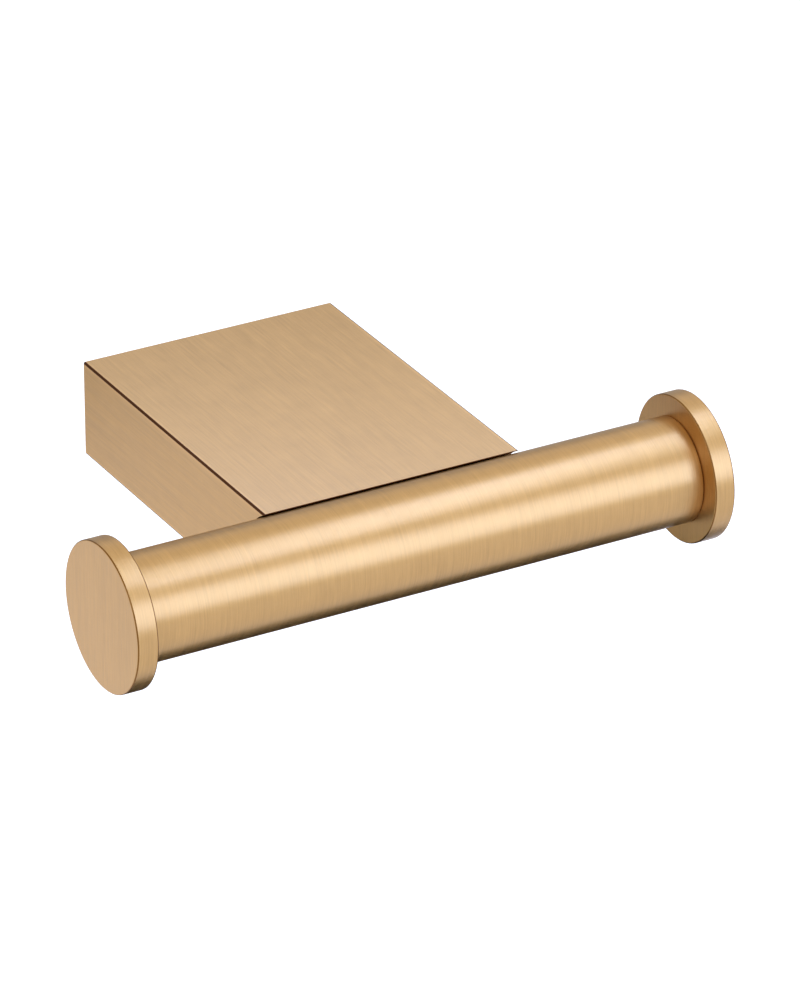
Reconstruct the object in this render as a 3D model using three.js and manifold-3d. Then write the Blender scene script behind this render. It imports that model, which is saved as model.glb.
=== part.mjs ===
// A wall-mounted double robe hook: a round bar with a disc on each end, carried at its middle
// by a flat rectangular arm that hides its wall bracket. Millimetres, +Z up.
// The origin is the middle of the arm's wall face. +X runs along the bar, +Y into the wall.

import * as THREE from 'three';
import { mergeVertices } from 'three/addons/utils/BufferGeometryUtils.js';
import Module from 'manifold-3d';

// Driving sizes: the bar and its end discs.
const BAR_DIAMETER = 20;
const BAR_WALL = 1.5;
const BAR_CLEAR_LENGTH = 113;
const BAR_END_CHAMFER = 0.3;
const DISC_DIAMETER = 28;
const DISC_THICKNESS = 4.1;
const DISC_EDGE_CHAMFER = 0.25;

// Driving sizes: the arm, from the wall to the bar.
const WALL_TO_BAR_AXIS = 74.6;
const ARM_WIDTH = 52;
const ARM_HEIGHT = 19;
const ARM_WALL = 2.5;
const ARM_EDGE_CHAMFER = 0.5;
const ARM_FRONT_SETBACK = 4.4; // from the bar's axis back to the arm's front edge

// Driving sizes: the block that closes the arm behind the bar, and the screws through it.
const SADDLE_WEB = 6; // block thickness behind the bar, at its thinnest
const BLOCK_CORNER = 0.5;
const SCREW_SPACING = 28;
const SCREW_DIAMETER = 5;
const SCREW_LENGTH = 14;
const SCREW_HEAD_DIAMETER = 8.5;
const SCREW_HEAD_HEIGHT = 5;
const SCREW_SOCKET = 4; // across the flats of the hexagon
const SCREW_SOCKET_DEPTH = 2.5;
const SCREW_END_BEVEL = 0.5;
const WASHER_DIAMETER = 10;
const WASHER_THICKNESS = 1;
const NUT_THICKNESS = 4;
const NUT_LENGTH = 42;

// Driving sizes: what holds a disc in the end of the bar.
const SPIGOT_LENGTH = 5;
const RING_SECTION = 1.9;
const STUD_DIAMETER = 6;
const STUD_IN_DISC = 6.5;
const STUD_END_BEVEL = 0.6;
const PLUG_LENGTH = 10;
const PLUG_CHAMFER = 0.5;

// Driving sizes: the wall side.
const PAD_THICKNESS = 1;
const BRACKET_DEPTH = 11;
const BRACKET_CORNER = 1.5;
const WALL_SLOT_WIDTH = 5.2;
const WALL_SLOT_LENGTH = 13;
const WALL_SLOT_SPACING = 24;
const HEAD_SLOT_WIDTH = 9.4; // room for a wall screw's head
const HEAD_SLOT_DEPTH = 4;
const GRUB_DIAMETER = 5;
const GRUB_SPACING = 30;
const GRUB_RECESS = 0.4; // how far they are sunk in the arm's underside
const GRUB_POINT_RADIUS = 1;
const GRUB_SOCKET = 2.5; // across the flats of the hexagon
const GRUB_SOCKET_DEPTH = 1.4;
const KEY_GROOVE_DEPTH = 1.2;

// Clearances.
const RUNNING_GAP = 0.3; // between a round piece and what it sits in
const BRAZE_GAP = 0.1; // between the flat sides of the arm and of the pieces inside it
const CUT_MARGIN = 1; // how far a cutter runs past what it cuts

// How round the round pieces are.
const LARGE_SEGMENTS = 72;
const SMALL_SEGMENTS = 32;
const ARC_SEGMENTS = 16; // an arc in a drawn outline gets twice as many
const RING_SEGMENTS = 12;

// Sizes that follow from the driving ones.
const BAR_RADIUS = BAR_DIAMETER / 2;
const BORE_RADIUS = BAR_RADIUS - BAR_WALL;
const INSERT_RADIUS = BORE_RADIUS - RUNNING_GAP;
const SPIGOT_RADIUS = INSERT_RADIUS - RING_SECTION - RUNNING_GAP;
const HALF_CLEAR_LENGTH = BAR_CLEAR_LENGTH / 2;
const SADDLE_RADIUS = BAR_RADIUS + RUNNING_GAP;
const ARM_LENGTH = WALL_TO_BAR_AXIS - ARM_FRONT_SETBACK;
const HOLLOW_WIDTH = ARM_WIDTH - 2 * ARM_WALL;
const HOLLOW_HEIGHT = ARM_HEIGHT - 2 * ARM_WALL;
const INNER_WIDTH = HOLLOW_WIDTH - 2 * BRAZE_GAP;
const INNER_HEIGHT = HOLLOW_HEIGHT - 2 * BRAZE_GAP;
const BLOCK_BACK = WALL_TO_BAR_AXIS - SADDLE_RADIUS - SADDLE_WEB; // from the wall
const SCREW_HOLE_RADIUS = SCREW_DIAMETER / 2 + RUNNING_GAP;
const STUD_HOLE_RADIUS = STUD_DIAMETER / 2 + RUNNING_GAP;
const PLUG_OUTER_END = HALF_CLEAR_LENGTH - SPIGOT_LENGTH - RUNNING_GAP;
const HEAD_SLOT_LENGTH = WALL_SLOT_LENGTH + HEAD_SLOT_WIDTH - WALL_SLOT_WIDTH;
const GRUB_RADIUS = GRUB_DIAMETER / 2;
const GRUB_DEPTH = PAD_THICKNESS + BRACKET_DEPTH / 2; // from the wall to the grub screws' axes
const GROOVE_FLOOR_DROP = INNER_HEIGHT / 2 - KEY_GROOVE_DEPTH; // below the arm's middle

const SIDES = [
  { name: 'left', sign: -1 },
  { name: 'right', sign: 1 },
];

// Finishes.
function finish(color, roughness, metalness) {
  return new THREE.MeshStandardMaterial({ color, roughness, metalness });
}
const brushedBronze = () => finish(0xc89e6c, 0.38, 1);
const plainBrass = () => finish(0xb58d4a, 0.45, 1);
const stainlessSteel = () => finish(0xb9bcc0, 0.35, 1);
const milledAluminium = () => finish(0xa7abb0, 0.5, 1);
const blackRubber = () => finish(0x1c1c1e, 0.85, 0);

// Solids: a three.js geometry goes in to be cut, and a three.js geometry comes back.
const wasm = await Module();
wasm.setup();

function toSolid(geometry) {
  const bare = geometry.clone();
  bare.deleteAttribute('normal');
  bare.deleteAttribute('uv');
  const merged = mergeVertices(bare);
  return new wasm.Manifold(
    new wasm.Mesh({
      numProp: 3,
      vertProperties: new Float32Array(merged.attributes.position.array),
      triVerts: new Uint32Array(merged.index.array),
    }),
  );
}

function toGeometry(solid) {
  const { vertProperties, triVerts } = solid.getMesh();
  const geometry = new THREE.BufferGeometry();
  geometry.setAttribute('position', new THREE.BufferAttribute(vertProperties, 3));
  geometry.setIndex(new THREE.BufferAttribute(triVerts, 1));
  geometry.computeVertexNormals();
  return geometry;
}

function cut(geometry, cutters) {
  const left = cutters.reduce((solid, cutter) => solid.subtract(toSolid(cutter)), toSolid(geometry));
  return toGeometry(left);
}

// A named mesh at a place.
function piece(name, geometry, material, x = 0, y = 0, z = 0) {
  const mesh = new THREE.Mesh(geometry, material);
  mesh.name = name;
  mesh.position.set(x, y, z);
  return mesh;
}

// A solid of revolution about X. The profile lists [x, radius] from one end to the other.
function turnedAlongX(profile, segments) {
  const points = profile.map(([x, radius]) => new THREE.Vector2(radius, x));
  return new THREE.LatheGeometry(points, segments).rotateZ(-Math.PI / 2);
}

// A round cutter or pin along X, Y or Z, centred at a place.
function rod(axis, radius, length, [x, y, z], segments = SMALL_SEGMENTS) {
  const geometry = new THREE.CylinderGeometry(radius, radius, length, segments);
  if (axis === 'x') geometry.rotateZ(-Math.PI / 2);
  if (axis === 'z') geometry.rotateX(Math.PI / 2);
  return geometry.translate(x, y, z);
}

// A hexagonal cutter along Y or Z, sized across its flats.
function hexagon(axis, acrossFlats, length, place) {
  return rod(axis, acrossFlats / Math.sqrt(3), length, place, 6);
}

// A rectangle with its corners cut off, centred on the origin.
function chamferedRectangle(width, height, chamfer) {
  const [x, y] = [width / 2, height / 2];
  return new THREE.Shape([
    new THREE.Vector2(-x + chamfer, -y),
    new THREE.Vector2(x - chamfer, -y),
    new THREE.Vector2(x, -y + chamfer),
    new THREE.Vector2(x, y - chamfer),
    new THREE.Vector2(x - chamfer, y),
    new THREE.Vector2(-x + chamfer, y),
    new THREE.Vector2(-x, y - chamfer),
    new THREE.Vector2(-x, -y + chamfer),
  ]);
}

// A section in X and Z, drawn out from the wall side (at y = -start) into the room.
function drawnOutFromWall(section, start, length) {
  const geometry = new THREE.ExtrudeGeometry(section, { depth: length, bevelEnabled: false });
  return geometry.rotateX(Math.PI / 2).translate(0, -start, 0);
}

// The round space that the bar and its clearance take out of the arm, in the arm's frame.
function barSpace() {
  const length = ARM_WIDTH + 2 * CUT_MARGIN;
  return rod('x', SADDLE_RADIUS, length, [0, -WALL_TO_BAR_AXIS, 0], LARGE_SEGMENTS);
}

// The arm: a rectangular tube with bevelled long edges, open at the wall and hollowed to the bar.
function armHousing() {
  const section = chamferedRectangle(ARM_WIDTH, ARM_HEIGHT, ARM_EDGE_CHAMFER);
  const [x, z] = [HOLLOW_WIDTH / 2, HOLLOW_HEIGHT / 2];
  const hollow = new THREE.Path().setFromPoints([
    new THREE.Vector2(-x, -z),
    new THREE.Vector2(-x, z),
    new THREE.Vector2(x, z),
    new THREE.Vector2(x, -z),
  ]);
  section.holes.push(hollow);
  const underside = -(ARM_HEIGHT - ARM_WALL) / 2;
  const grubHoles = SIDES.map(({ sign }) =>
    rod('z', GRUB_RADIUS + RUNNING_GAP, ARM_WALL + CUT_MARGIN, [
      (sign * GRUB_SPACING) / 2,
      -GRUB_DEPTH,
      underside,
    ]),
  );
  const tube = drawnOutFromWall(section, 0, ARM_LENGTH);
  return piece('arm_housing', cut(tube, [barSpace(), ...grubHoles]), brushedBronze());
}

// The block brazed into the arm's front end: hollowed for the bar, drilled for its two screws.
function saddleBlock() {
  const section = chamferedRectangle(INNER_WIDTH, INNER_HEIGHT, BLOCK_CORNER);
  const length = ARM_LENGTH - BLOCK_BACK;
  const middle = BLOCK_BACK + length / 2;
  const screwHoles = SIDES.map(({ sign }) =>
    rod('y', SCREW_HOLE_RADIUS, length + 2 * CUT_MARGIN, [(sign * SCREW_SPACING) / 2, -middle, 0]),
  );
  const block = drawnOutFromWall(section, BLOCK_BACK, length);
  return piece('saddle_block', cut(block, [barSpace(), ...screwHoles]), plainBrass());
}

// A socket-head screw, made at the origin with its shank along -Y and its head along +Y.
function barScrew({ name, sign }) {
  const radius = SCREW_DIAMETER / 2;
  const headRadius = SCREW_HEAD_DIAMETER / 2;
  const bevel = SCREW_END_BEVEL;
  const screw = turnedAlongX(
    [
      [-SCREW_LENGTH, 0],
      [-SCREW_LENGTH, radius - bevel],
      [-SCREW_LENGTH + bevel, radius],
      [0, radius],
      [0, headRadius],
      [SCREW_HEAD_HEIGHT - bevel, headRadius],
      [SCREW_HEAD_HEIGHT, headRadius - bevel],
      [SCREW_HEAD_HEIGHT, 0],
    ],
    SMALL_SEGMENTS,
  ).rotateZ(Math.PI / 2);
  const socketMiddle = SCREW_HEAD_HEIGHT - SCREW_SOCKET_DEPTH / 2 + CUT_MARGIN / 2;
  const socket = hexagon('y', SCREW_SOCKET, SCREW_SOCKET_DEPTH + CUT_MARGIN, [0, socketMiddle, 0]);
  const seat = -(BLOCK_BACK - WASHER_THICKNESS);
  const place = [(sign * SCREW_SPACING) / 2, seat, 0];
  return piece(`bar_screw_${name}`, cut(screw, [socket]), stainlessSteel(), ...place);
}

// The flat washer between a bar screw's head and the saddle block.
function screwWasher({ name, sign }) {
  const outline = new THREE.Shape().absarc(0, 0, WASHER_DIAMETER / 2, 0, 2 * Math.PI);
  outline.holes.push(new THREE.Path().absarc(0, 0, SCREW_HOLE_RADIUS, 0, 2 * Math.PI, true));
  const options = { depth: WASHER_THICKNESS, bevelEnabled: false, curveSegments: ARC_SEGMENTS };
  const washer = new THREE.ExtrudeGeometry(outline, options).rotateX(Math.PI / 2);
  const place = [(sign * SCREW_SPACING) / 2, -(BLOCK_BACK - WASHER_THICKNESS), 0];
  return piece(`screw_washer_${name}`, washer, stainlessSteel(), ...place);
}

// The bar: a tube along X with two screw holes in its back, in the bar's frame.
function barTube() {
  const [end, shoulder] = [HALF_CLEAR_LENGTH, HALF_CLEAR_LENGTH - BAR_END_CHAMFER];
  const tube = turnedAlongX(
    [
      [-end, BORE_RADIUS],
      [-end, BAR_RADIUS - BAR_END_CHAMFER],
      [-shoulder, BAR_RADIUS],
      [shoulder, BAR_RADIUS],
      [end, BAR_RADIUS - BAR_END_CHAMFER],
      [end, BORE_RADIUS],
      [-end, BORE_RADIUS],
    ],
    LARGE_SEGMENTS,
  );
  const holeLength = BAR_RADIUS + CUT_MARGIN;
  const screwHoles = SIDES.map(({ sign }) =>
    rod('y', SCREW_HOLE_RADIUS, holeLength, [(sign * SCREW_SPACING) / 2, holeLength / 2, 0]),
  );
  return piece('bar_tube', cut(tube, screwHoles), brushedBronze());
}

// The nut inside the bar: the back slice of a round rod, drilled for both screws.
function saddleNut() {
  const flat = INSERT_RADIUS - NUT_THICKNESS; // from the bar's axis back to the nut's flat face
  const halfAngle = Math.acos(flat / INSERT_RADIUS);
  const slice = new THREE.Shape().absarc(0, 0, INSERT_RADIUS, -halfAngle, halfAngle);
  const options = { depth: NUT_LENGTH, bevelEnabled: false, curveSegments: ARC_SEGMENTS };
  const nut = new THREE.ExtrudeGeometry(slice, options)
    .translate(0, 0, -NUT_LENGTH / 2)
    .rotateZ(Math.PI / 2)
    .rotateY(Math.PI / 2);
  const holes = SIDES.map(({ sign }) =>
    rod('y', SCREW_HOLE_RADIUS, NUT_THICKNESS + 2 * CUT_MARGIN, [
      (sign * SCREW_SPACING) / 2,
      INSERT_RADIUS - NUT_THICKNESS / 2,
      0,
    ]),
  );
  return piece('saddle_nut', cut(nut, holes), stainlessSteel());
}

// An end disc with its centring spigot and blind stud hole, in the bar's frame, for the +X end.
function discProfile() {
  const radius = DISC_DIAMETER / 2;
  const inner = HALF_CLEAR_LENGTH;
  const outer = HALF_CLEAR_LENGTH + DISC_THICKNESS;
  const spigotEnd = HALF_CLEAR_LENGTH - SPIGOT_LENGTH;
  const holeEnd = spigotEnd + STUD_IN_DISC + RUNNING_GAP;
  return [
    [holeEnd, 0],
    [holeEnd, STUD_HOLE_RADIUS],
    [spigotEnd, STUD_HOLE_RADIUS],
    [spigotEnd, SPIGOT_RADIUS],
    [inner, SPIGOT_RADIUS],
    [inner, radius - DISC_EDGE_CHAMFER],
    [inner + DISC_EDGE_CHAMFER, radius],
    [outer - DISC_EDGE_CHAMFER, radius],
    [outer, radius - DISC_EDGE_CHAMFER],
    [outer, 0],
  ];
}

// Turns a piece made for the bar's +X end about Z, to suit the end it is for.
function atBarEnd(mesh, sign) {
  mesh.rotation.z = sign > 0 ? 0 : Math.PI;
  return mesh;
}

function endDisc({ name, sign }) {
  const disc = turnedAlongX(discProfile(), LARGE_SEGMENTS);
  return atBarEnd(piece(`end_disc_${name}`, disc, brushedBronze()), sign);
}

// The rubber ring that centres a disc's spigot in the bar.
function spigotRing({ name, sign }) {
  const wire = RING_SECTION / 2;
  const ring = new THREE.TorusGeometry(INSERT_RADIUS - wire, wire, RING_SEGMENTS, SMALL_SEGMENTS);
  ring.rotateY(Math.PI / 2).translate(HALF_CLEAR_LENGTH - SPIGOT_LENGTH / 2, 0, 0);
  return atBarEnd(piece(`spigot_ring_${name}`, ring, blackRubber()), sign);
}

// The drilled plug fixed inside each end of the bar, behind the disc's spigot.
function endPlug({ name, sign }) {
  const [inner, outer] = [PLUG_OUTER_END - PLUG_LENGTH, PLUG_OUTER_END];
  const plug = turnedAlongX(
    [
      [inner, STUD_HOLE_RADIUS],
      [inner, INSERT_RADIUS - PLUG_CHAMFER],
      [inner + PLUG_CHAMFER, INSERT_RADIUS],
      [outer - PLUG_CHAMFER, INSERT_RADIUS],
      [outer, INSERT_RADIUS - PLUG_CHAMFER],
      [outer, STUD_HOLE_RADIUS],
      [inner, STUD_HOLE_RADIUS],
    ],
    SMALL_SEGMENTS,
  );
  return atBarEnd(piece(`end_plug_${name}`, plug, plainBrass()), sign);
}

// The stud that joins a disc to its plug: plain, as its thread is left out.
function discStud({ name, sign }) {
  const radius = STUD_DIAMETER / 2;
  const bevel = STUD_END_BEVEL;
  const outer = HALF_CLEAR_LENGTH - SPIGOT_LENGTH + STUD_IN_DISC;
  const inner = PLUG_OUTER_END - PLUG_LENGTH;
  const stud = turnedAlongX(
    [
      [inner, 0],
      [inner, radius - bevel],
      [inner + bevel, radius],
      [outer - bevel, radius],
      [outer, radius - bevel],
      [outer, 0],
    ],
    SMALL_SEGMENTS,
  );
  return atBarEnd(piece(`disc_stud_${name}`, stud, stainlessSteel()), sign);
}

// Draws a level slot with round ends, for one side's wall screw, into an empty shape or path.
function drawSlot(outline, sign, width, length) {
  const radius = width / 2;
  const reach = length / 2 - radius; // from the slot's middle to the centre of each round end
  const x = (sign * WALL_SLOT_SPACING) / 2;
  return outline
    .absarc(x + reach, 0, radius, Math.PI / 2, -Math.PI / 2, true)
    .absarc(x - reach, 0, radius, -Math.PI / 2, Math.PI / 2, true);
}

// The bracket's outline seen from the room, with its two wall-screw slots.
function slottedBracketOutline() {
  const outline = chamferedRectangle(INNER_WIDTH, INNER_HEIGHT, BRACKET_CORNER);
  SIDES.forEach(({ sign }) => {
    outline.holes.push(drawSlot(new THREE.Path(), sign, WALL_SLOT_WIDTH, WALL_SLOT_LENGTH));
  });
  return outline;
}

// The pad between the bracket and the wall.
function wallPad() {
  const section = slottedBracketOutline();
  return piece('wall_pad', drawnOutFromWall(section, 0, PAD_THICKNESS), blackRubber());
}

// The wider slot in the bracket's room side that takes one wall screw's head.
function headSlot({ sign }) {
  const section = drawSlot(new THREE.Shape(), sign, HEAD_SLOT_WIDTH, HEAD_SLOT_LENGTH);
  const floor = PAD_THICKNESS + BRACKET_DEPTH - HEAD_SLOT_DEPTH;
  return drawnOutFromWall(section, floor, HEAD_SLOT_DEPTH + CUT_MARGIN);
}

// The groove along the bracket's underside, with 45 degree sides, that the grub screws grip.
function keyGroove() {
  const floor = GRUB_POINT_RADIUS + RUNNING_GAP * (Math.SQRT2 - 1);
  const depth = KEY_GROOVE_DEPTH + CUT_MARGIN;
  const section = new THREE.Shape([
    new THREE.Vector2(-floor, 0),
    new THREE.Vector2(-floor - depth, -depth),
    new THREE.Vector2(floor + depth, -depth),
    new THREE.Vector2(floor, 0),
  ]);
  const length = INNER_WIDTH + 2 * CUT_MARGIN;
  return new THREE.ExtrudeGeometry(section, { depth: length, bevelEnabled: false })
    .translate(0, 0, -length / 2)
    .rotateX(Math.PI / 2)
    .rotateZ(Math.PI / 2)
    .translate(0, -GRUB_DEPTH, -GROOVE_FLOOR_DROP);
}

// The wall bracket: the block that is screwed to the wall and that the arm slides over.
function wallBracket() {
  const block = drawnOutFromWall(slottedBracketOutline(), PAD_THICKNESS, BRACKET_DEPTH);
  const cutters = [...SIDES.map(headSlot), keyGroove()];
  return piece('wall_bracket', cut(block, cutters), milledAluminium());
}

// A cone-point grub screw in the arm's underside: socket down, point up in the bracket's groove.
function grubScrew({ name, sign }) {
  const point = -GROOVE_FLOOR_DROP - RUNNING_GAP;
  const shoulder = point - (GRUB_RADIUS - GRUB_POINT_RADIUS);
  const end = -ARM_HEIGHT / 2 + GRUB_RECESS;
  const profile = [
    new THREE.Vector2(0, end),
    new THREE.Vector2(GRUB_RADIUS, end),
    new THREE.Vector2(GRUB_RADIUS, shoulder),
    new THREE.Vector2(GRUB_POINT_RADIUS, point),
    new THREE.Vector2(0, point),
  ];
  const screw = new THREE.LatheGeometry(profile, SMALL_SEGMENTS).rotateX(Math.PI / 2);
  const socketMiddle = end + GRUB_SOCKET_DEPTH / 2 - CUT_MARGIN / 2;
  const socket = hexagon('z', GRUB_SOCKET, GRUB_SOCKET_DEPTH + CUT_MARGIN, [0, 0, socketMiddle]);
  const place = [(sign * GRUB_SPACING) / 2, -GRUB_DEPTH, 0];
  return piece(`grub_screw_${name}`, cut(screw, [socket]), stainlessSteel(), ...place);
}

function wallGroup() {
  const group = new THREE.Group();
  group.add(wallPad(), wallBracket(), ...SIDES.map(grubScrew));
  return group;
}

function armGroup() {
  const group = new THREE.Group();
  group.add(armHousing(), saddleBlock(), ...SIDES.map(barScrew), ...SIDES.map(screwWasher));
  return group;
}

function barGroup() {
  const group = new THREE.Group();
  group.position.set(0, -WALL_TO_BAR_AXIS, 0);
  group.add(barTube(), saddleNut());
  [endDisc, spigotRing, endPlug, discStud].forEach((make) => group.add(...SIDES.map(make)));
  return group;
}

const doubleRobeHook = new THREE.Group();
doubleRobeHook.add(wallGroup(), armGroup(), barGroup());

export default doubleRobeHook;
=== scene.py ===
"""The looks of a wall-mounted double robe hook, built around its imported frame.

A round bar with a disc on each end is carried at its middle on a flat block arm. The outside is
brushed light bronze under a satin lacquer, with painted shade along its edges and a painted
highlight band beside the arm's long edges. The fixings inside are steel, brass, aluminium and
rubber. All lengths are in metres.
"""

import logging
import math
from collections.abc import Callable, Iterable
from dataclasses import dataclass
from enum import Enum

import bmesh
import bpy
from mathutils import Matrix, Vector

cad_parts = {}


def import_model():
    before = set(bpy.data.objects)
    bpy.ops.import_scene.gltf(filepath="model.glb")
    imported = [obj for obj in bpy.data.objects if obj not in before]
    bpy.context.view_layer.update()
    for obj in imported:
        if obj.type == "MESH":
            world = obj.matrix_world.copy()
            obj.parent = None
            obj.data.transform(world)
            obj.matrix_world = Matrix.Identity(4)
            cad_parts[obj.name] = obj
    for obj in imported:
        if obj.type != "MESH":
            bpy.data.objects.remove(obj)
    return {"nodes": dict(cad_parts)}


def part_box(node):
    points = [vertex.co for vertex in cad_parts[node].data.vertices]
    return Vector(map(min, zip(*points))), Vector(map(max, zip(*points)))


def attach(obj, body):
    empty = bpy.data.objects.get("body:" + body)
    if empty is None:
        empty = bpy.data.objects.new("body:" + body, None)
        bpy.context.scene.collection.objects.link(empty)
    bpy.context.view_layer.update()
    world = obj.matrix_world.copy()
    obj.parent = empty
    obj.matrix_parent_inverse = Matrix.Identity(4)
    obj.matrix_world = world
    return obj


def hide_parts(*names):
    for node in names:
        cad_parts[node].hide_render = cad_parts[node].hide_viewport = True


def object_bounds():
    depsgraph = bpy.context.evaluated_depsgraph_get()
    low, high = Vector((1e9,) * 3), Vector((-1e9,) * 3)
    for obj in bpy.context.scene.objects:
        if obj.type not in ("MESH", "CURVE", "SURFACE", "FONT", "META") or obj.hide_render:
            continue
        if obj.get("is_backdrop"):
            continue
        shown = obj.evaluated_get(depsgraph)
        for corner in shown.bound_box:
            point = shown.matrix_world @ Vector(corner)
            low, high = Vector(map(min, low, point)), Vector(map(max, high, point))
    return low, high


LOG = logging.getLogger("double_robe_hook")
MM = 0.001
BODY = "root"
SIDES = {"left": -1, "right": 1}

# How many faces go round a large and a small turned piece.
FINE_STEPS = 192
SMALL_STEPS = 64

# Places closer than this are one place, and edges flatter than this are smooth.
MERGE_DISTANCE = 1e-6
SMOOTH_ANGLE = math.radians(35)

# The share of a face's normal that lies along an axis, where the face leans that way or faces it.
LEANING = 0.1
FACING = 0.95

Point = tuple[float, float]
Colour = tuple[float, float, float]


# ---- Finishes ----


class Grain(Enum):
    """Which way the brushing runs, as grain lines to the metre along X, Y and Z."""

    ALONG_ARM = (3600.0, 110.0, 3600.0)
    ROUND_BAR = (3600.0, 140.0, 140.0)
    ROUND_BAR_SCREW = (140.0, 3600.0, 140.0)
    ROUND_GRUB_SCREW = (140.0, 140.0, 3600.0)
    DOWN_DISC = (100.0, 3600.0, 140.0)
    MILLED = (900.0, 900.0, 60.0)
    MOULDED = (2600.0, 2600.0, 2600.0)


# Streaks are wider than the lines that they run among. Clouds are counted to the metre.
STREAK_SCALE = 0.4
CLOUD_SCALE = 240.0
NOISE_ROUGHNESS = 0.6

# How deep streaks are beside lines, and how much a line changes the roughness.
STREAK_HEIGHT = 0.45
LINE_ROUGHNESS = 0.5

# The share of the painted highlight band beside an edge that has its full strength.
BAND_CORE = 0.45


def linear(red: int, green: int, blue: int) -> Colour:
    """Turns a display colour into the linear colour that shaders use.

    Args:
        red: the red channel, 0 to 255.
        green: the green channel.
        blue: the blue channel.

    Returns:
        The linear colour, 0 to 1 a channel.
    """

    def channel(value: int) -> float:
        """Undoes the display's curve for one channel."""
        share = value / 255
        return share / 12.92 if share <= 0.04045 else ((share + 0.055) / 1.055) ** 2.4

    return channel(red), channel(green), channel(blue)


def add_node(tree: bpy.types.NodeTree, kind: str, **values: object) -> bpy.types.Node:
    """Adds a node and sets its properties.

    Args:
        tree: the node tree.
        kind: the node's type, such as ShaderNodeMath.
        values: properties to set on the node.

    Returns:
        The new node.
    """
    node = tree.nodes.new(kind)
    for name, value in values.items():
        setattr(node, name, value)
    return node


def set_inputs(node: bpy.types.Node, values: dict[str, object]) -> None:
    """Sets a node's own sockets, each by its name."""
    for name, value in values.items():
        node.inputs[name].default_value = value


def math_node(tree: bpy.types.NodeTree, operation: str, *inputs: object) -> bpy.types.NodeSocket:
    """Adds a Math node and feeds it sockets or numbers.

    Args:
        tree: the node tree.
        operation: the Math node's operation.
        inputs: sockets to link, or numbers to set, in order.

    Returns:
        The node's output socket.
    """
    node = add_node(tree, "ShaderNodeMath", operation=operation)
    for socket, value in zip(node.inputs, inputs):
        if isinstance(value, bpy.types.NodeSocket):
            tree.links.new(value, socket)
        else:
            socket.default_value = value
    return node.outputs[0]


def new_group(name: str, inputs: dict[str, str], outputs: dict[str, str]) -> bpy.types.NodeTree:
    """Makes a shader node group with named sockets.

    Args:
        name: the group's name.
        inputs: input socket names and their types.
        outputs: output socket names and their types.

    Returns:
        The group, with its input and output nodes in place.
    """
    group = bpy.data.node_groups.new(name, "ShaderNodeTree")
    for in_out, sockets in (("INPUT", inputs), ("OUTPUT", outputs)):
        for socket, kind in sockets.items():
            group.interface.new_socket(name=socket, in_out=in_out, socket_type=kind)
    group.nodes.new("NodeGroupInput")
    group.nodes.new("NodeGroupOutput")
    return group


def centred_noise(
    group: bpy.types.NodeTree, place: bpy.types.NodeSocket, scale: float, detail: float
) -> bpy.types.NodeSocket:
    """Adds noise that runs from about -1 to 1.

    Args:
        group: the node tree.
        place: the socket that gives where on the surface.
        scale: how many times finer than the place's own unit.
        detail: how many finer layers are added.

    Returns:
        The socket of the noise's value.
    """
    noise = add_node(group, "ShaderNodeTexNoise")
    set_inputs(noise, {"Scale": scale, "Detail": detail, "Roughness": NOISE_ROUGHNESS})
    group.links.new(place, noise.inputs["Vector"])
    return math_node(group, "MULTIPLY_ADD", noise.outputs[0], 2.0, -1.0)


def brushed_grain_group() -> bpy.types.NodeTree:
    """The grain that every finish shares: fine lines, wider streaks and a slow cloudiness.

    Returns:
        A group that takes a place in grain lines and a place in metres, and puts out a tone
        about 1, a roughness about 0 and a height.
    """
    vector, number = "NodeSocketVector", "NodeSocketFloat"
    inputs = {"Grain Place": vector, "Surface Place": vector}
    strengths = {"Line Strength": number, "Streak Strength": number, "Cloud Strength": number}
    outputs = {"Tone": number, "Roughness Shift": number, "Height": number}
    group = new_group("brushed_grain", inputs | strengths, outputs)
    given = group.nodes["Group Input"].outputs
    lines = centred_noise(group, given["Grain Place"], scale=1.0, detail=2.0)
    streaks = centred_noise(group, given["Grain Place"], scale=STREAK_SCALE, detail=1.0)
    clouds = centred_noise(group, given["Surface Place"], scale=CLOUD_SCALE, detail=3.0)
    tone = math_node(group, "MULTIPLY_ADD", lines, given["Line Strength"], 1.0)
    tone = math_node(group, "MULTIPLY_ADD", streaks, given["Streak Strength"], tone)
    tone = math_node(group, "MULTIPLY_ADD", clouds, given["Cloud Strength"], tone)
    made = group.nodes["Group Output"].inputs
    group.links.new(tone, made["Tone"])
    shift = math_node(group, "MULTIPLY", lines, LINE_ROUGHNESS)
    group.links.new(shift, made["Roughness Shift"])
    height = math_node(group, "MULTIPLY_ADD", streaks, STREAK_HEIGHT, lines)
    group.links.new(height, made["Height"])
    return group


def painted_highlight_band_group() -> bpy.types.NodeTree:
    """Where a painted highlight runs beside a box-shaped piece's long edges: a mask, 1 on an edge
    and 0 off it.

    Returns:
        A group that takes a place, the box's half sizes across X and Z and the band's width.
    """
    number = "NodeSocketFloat"
    inputs = {"Place": "NodeSocketVector", "Half Width": number, "Half Height": number}
    group = new_group("painted_highlight_band", inputs | {"Band": number}, {"Mask": number})
    given = group.nodes["Group Input"].outputs
    split = add_node(group, "ShaderNodeSeparateXYZ")
    group.links.new(given["Place"], split.inputs[0])
    inward = []
    for axis, half_size in (("X", "Half Width"), ("Z", "Half Height")):
        outward = math_node(group, "ABSOLUTE", split.outputs[axis])
        inward.append(math_node(group, "SUBTRACT", given[half_size], outward))
    share = math_node(group, "DIVIDE", math_node(group, "MAXIMUM", *inward), given["Band"])
    fade = add_node(group, "ShaderNodeMapRange", interpolation_type="SMOOTHSTEP")
    set_inputs(fade, {"From Min": BAND_CORE, "From Max": 1.0, "To Min": 1.0, "To Max": 0.0})
    group.links.new(share, fade.inputs["Value"])
    group.links.new(fade.outputs[0], group.nodes["Group Output"].inputs["Mask"])
    return group


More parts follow.
